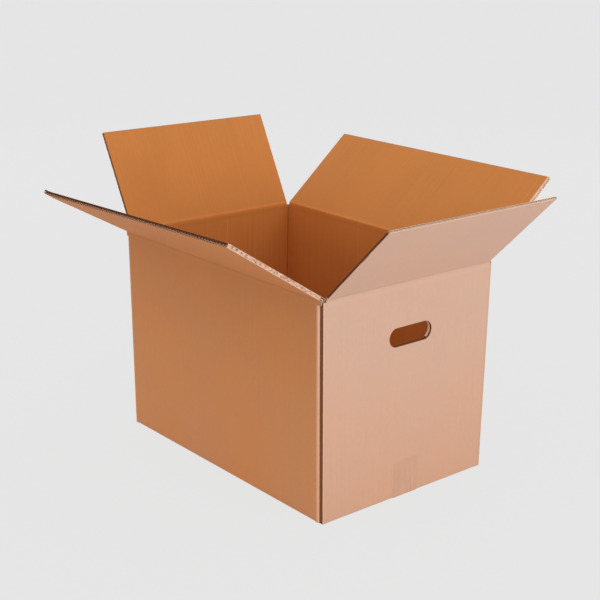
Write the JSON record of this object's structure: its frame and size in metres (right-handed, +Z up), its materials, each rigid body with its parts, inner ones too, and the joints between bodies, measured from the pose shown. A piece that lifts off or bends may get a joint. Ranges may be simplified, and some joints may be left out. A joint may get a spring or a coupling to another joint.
{
  "type": "double wall corrugated box",
  "caption": "Open-topped double wall corrugated shipping box with hinged top flaps, a hand hole in each end and a taped base.",
  "frame": {"origin": "middle of the base, on the ground", "axes": "+X along the length towards the glued corner's end panel, +Y from the front side to the back, +Z up"},
  "size_m": [0.6599, 0.5717, 0.4678],
  "materials": {
    "board": "matte brown kraft liner",
    "tape": "thin clear packing tape over brown board"
  },
  "bodies": {
    "box": {"box_body": "board", "bottom_tape": "tape"},
    "front": {"front_flap": "board"},
    "back": {"back_flap": "board"},
    "left": {"left_flap": "board"},
    "right": {"right_flap": "board"}
  },
  "joints": [
    {"name": "front_flap_fold", "type": "hinge", "parent": "box", "child": "front", "pos_m": [0, -0.1585, 0.3264], "axis": [-1, 0, 0], "range_deg": [-54, 146]},
    {"name": "back_flap_fold", "type": "hinge", "parent": "box", "child": "back", "pos_m": [0, 0.1585, 0.3264], "axis": [1, 0, 0], "range_deg": [-62.5, 137.5]},
    {"name": "left_flap_fold", "type": "hinge", "parent": "box", "child": "left", "pos_m": [-0.2341, 0, 0.3241], "axis": [0, 1, 0], "range_deg": [-81.5, 118.5]},
    {"name": "right_flap_fold", "type": "hinge", "parent": "box", "child": "right", "pos_m": [0.2341, 0, 0.3241], "axis": [0, -1, 0], "range_deg": [-65, 135]}
  ]
}
